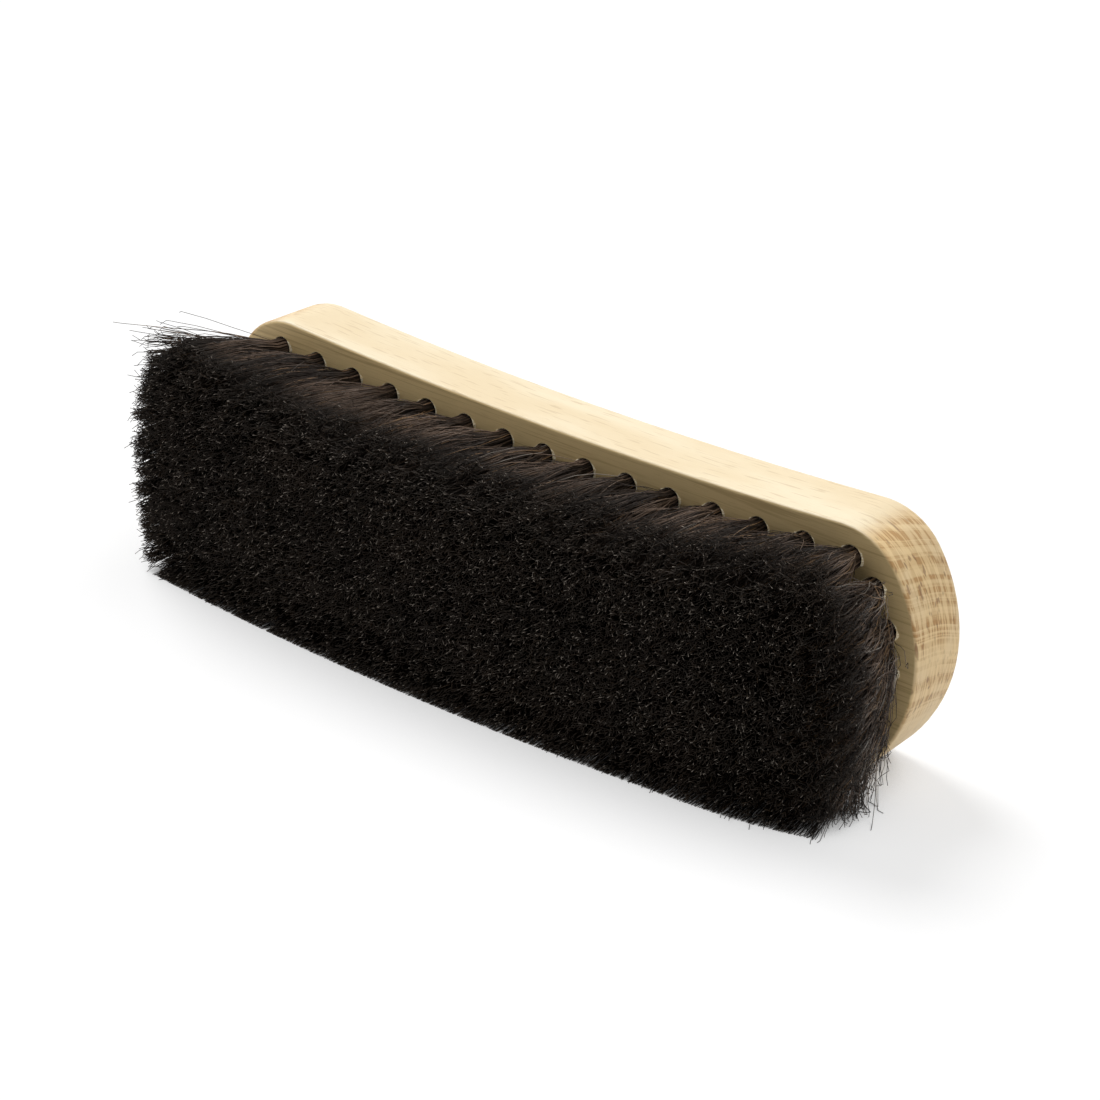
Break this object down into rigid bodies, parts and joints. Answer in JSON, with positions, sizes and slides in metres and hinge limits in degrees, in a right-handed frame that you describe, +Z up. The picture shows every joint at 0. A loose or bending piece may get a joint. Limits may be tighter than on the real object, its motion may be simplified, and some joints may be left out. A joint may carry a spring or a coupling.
{
  "type": "shoe shine brush",
  "caption": "Shoe shine brush: a waisted solid beech block with staple-set tufts of dark horsehair, lying on its long side.",
  "frame": {"origin": "On the surface that the brush lies on, under the middle of its whole box, hair included", "axes": "+X along the block, +Y out of the block's flat back so that the hair points to -Y, +Z up across the block's width"},
  "size_m": [0.18, 0.0511, 0.053],
  "materials": {
    "beech": "matte",
    "horsehair": "satin",
    "staple_steel": "satin"
  },
  "bodies": {
    "root": {"block": "beech", "tufts_row_1": "horsehair", "tufts_row_2": "horsehair", "tufts_row_3": "horsehair", "tufts_row_4": "horsehair", "tufts_row_5": "horsehair", "tufts_end_left": "horsehair", "tufts_end_right": "horsehair", "staples_row_1": "staple_steel", "staples_row_2": "staple_steel", "staples_row_3": "staple_steel", "staples_row_4": "staple_steel", "staples_row_5": "staple_steel", "staples_end_left": "staple_steel", "staples_end_right": "staple_steel"}
  },
  "joints": []
}
